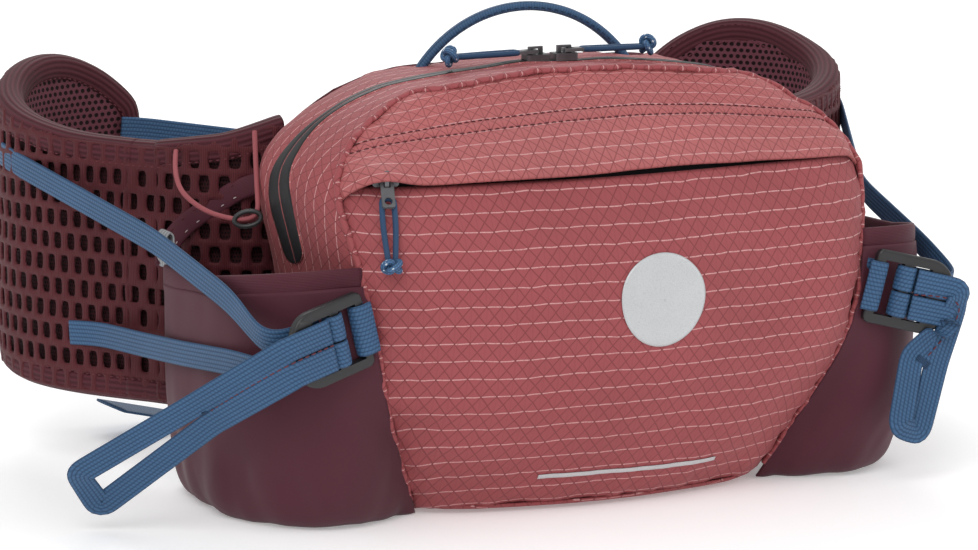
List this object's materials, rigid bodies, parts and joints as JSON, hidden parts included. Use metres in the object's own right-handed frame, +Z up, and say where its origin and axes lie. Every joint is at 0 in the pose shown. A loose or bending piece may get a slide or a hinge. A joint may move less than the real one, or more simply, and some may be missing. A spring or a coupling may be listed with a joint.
{
  "type": "waist pack",
  "caption": "Lumbar waist pack with a zipped main bag, hidden front pocket, stretch side pockets and a padded belt whose hinged wings carry compression straps and a side-release buckle.",
  "frame": {"origin": "on the floor, under the middle of the bag's base", "axes": "+Z up, -Y towards the front panel, +Y towards the wearer's back, +X to the right as seen from the front"},
  "size_m": [0.4224, 0.2974, 0.1905],
  "materials": {
    "ripstop": "rose ripstop with pale reflective threads",
    "back_fabric": "matt foam-backed knit",
    "spacer_mesh": "open spacer mesh",
    "stretch_knit": "smooth stretch knit",
    "binding": "folded woven binding",
    "webbing": "woven webbing",
    "zip_tape": "coated zipper tape",
    "hard_plastic": "satin moulded",
    "pull_tab": "satin",
    "cord": "braided cord",
    "bungee_cord": "sheathed elastic",
    "reflective": "silver reflective film"
  },
  "bodies": {
    "pack": {"anchor_web_left": "webbing", "anchor_web_right": "webbing", "back_pad": "back_fabric", "back_panel": "back_fabric", "base_binding_left": "binding", "base_binding_right": "binding", "belt_base_left": "back_fabric", "belt_base_right": "back_fabric", "bottom_panel": "ripstop", "bungee_left": "bungee_cord", "bungee_right": "bungee_cord", "cord_hooks": "hard_plastic", "flap_panel": "ripstop", "front_panel": "ripstop", "front_zip_tape": "zip_tape", "grab_handle": "webbing", "gusset": "ripstop", "loop_tabs": "reflective", "main_zip_tape": "zip_tape", "pocket_hem_left": "binding", "pocket_hem_right": "binding", "reflective_bar": "reflective", "reflective_mark": "reflective", "side_pocket_left": "stretch_knit", "side_pocket_right": "stretch_knit", "strap_lower_left": "webbing", "strap_lower_right": "webbing", "strap_upper_left": "webbing", "strap_upper_right": "webbing"},
    "wing_left": {"wing_foam_left": "back_fabric", "wing_mesh_left": "spacer_mesh", "wing_binding_left": "binding", "waist_strap_left": "webbing", "buckle_plug": "hard_plastic"},
    "wing_right": {"wing_foam_right": "back_fabric", "wing_mesh_right": "spacer_mesh", "wing_binding_right": "binding", "waist_strap_right": "webbing", "buckle_socket": "hard_plastic"},
    "latch_arm_lower": {"latch_lower": "hard_plastic"},
    "latch_arm_upper": {"latch_upper": "hard_plastic"},
    "main_slider_left": {"zip_slider_left": "hard_plastic"},
    "main_slider_right": {"zip_slider_right": "hard_plastic"},
    "main_puller_left": {"zip_tab_left": "pull_tab", "zip_cord_left": "cord"},
    "main_puller_right": {"zip_tab_right": "pull_tab", "zip_cord_right": "cord"},
    "front_slider": {"front_slider": "hard_plastic"},
    "front_puller": {"front_tab": "pull_tab", "front_cord": "cord"},
    "lock_left": {"ladder_lock_left": "hard_plastic", "strap_wrap_left": "webbing", "pull_loop_left": "webbing"},
    "lock_right": {"ladder_lock_right": "hard_plastic", "strap_wrap_right": "webbing", "pull_loop_right": "webbing"}
  },
  "joints": [
    {"name": "wing_left_fold", "type": "hinge", "parent": "pack", "child": "wing_left", "pos_m": [-0.143, 0.084, 0.083], "axis": [0, 0, 1], "range_deg": [0, 60], "deforming": ["strap_upper_left", "strap_lower_left"]},
    {"name": "wing_right_fold", "type": "hinge", "parent": "pack", "child": "wing_right", "pos_m": [0.143, 0.084, 0.083], "axis": [0, 0, -1], "range_deg": [0, 45], "deforming": ["strap_upper_right", "strap_lower_right"]},
    {"name": "latch_lower_squeeze", "type": "hinge", "parent": "wing_left", "child": "latch_arm_lower", "pos_m": [-0.0026, 0.211, 0.0881], "axis": [0, 1, 0], "range_deg": [-6, 0], "stiffness_Nm_per_rad": 0.05},
    {"name": "latch_upper_squeeze", "type": "hinge", "parent": "wing_left", "child": "latch_arm_upper", "pos_m": [-0.0026, 0.211, 0.1119], "axis": [0, 1, 0], "range_deg": [0, 6], "stiffness_Nm_per_rad": 0.05},
    {"name": "main_zip_left_travel", "type": "hinge", "parent": "pack", "child": "main_slider_left", "pos_m": [0, 0.015, -0.317], "axis": [0, 1, 0], "range_deg": [-9, 0]},
    {"name": "main_zip_right_travel", "type": "hinge", "parent": "pack", "child": "main_slider_right", "pos_m": [0, 0.015, -0.317], "axis": [0, 1, 0], "range_deg": [0, 9]},
    {"name": "zip_tab_left_flip", "type": "hinge", "parent": "main_slider_left", "child": "main_puller_left", "pos_m": [-0.00626, 0.015, 0.17241], "axis": [0, 1, 0], "range_deg": [0, 80]},
    {"name": "zip_tab_right_flip", "type": "hinge", "parent": "main_slider_right", "child": "main_puller_right", "pos_m": [0.00626, 0.015, 0.17241], "axis": [0, -1, 0], "range_deg": [0, 80]},
    {"name": "front_zip_travel", "type": "hinge", "parent": "pack", "child": "front_slider", "pos_m": [0, 0.32172, 0.1358], "axis": [0, 0, 1], "range_deg": [0, 29.2]},
    {"name": "front_tab_flip", "type": "hinge", "parent": "front_slider", "child": "front_puller", "pos_m": [-0.09696, -0.0448, 0.1358], "axis": [-0.9667, 0.2557, 0], "range_deg": [0, 80]},
    {"name": "lock_left_swing", "type": "hinge", "parent": "pack", "child": "lock_left", "pos_m": [-0.11046, -0.05243, 0.08055], "axis": [-0.2366, -0.0503, 0.9703], "range_deg": [-6, 18]},
    {"name": "lock_right_swing", "type": "hinge", "parent": "pack", "child": "lock_right", "pos_m": [0.11046, -0.05243, 0.08055], "axis": [0.2366, -0.0503, 0.9703], "range_deg": [-18, 6]}
  ]
}
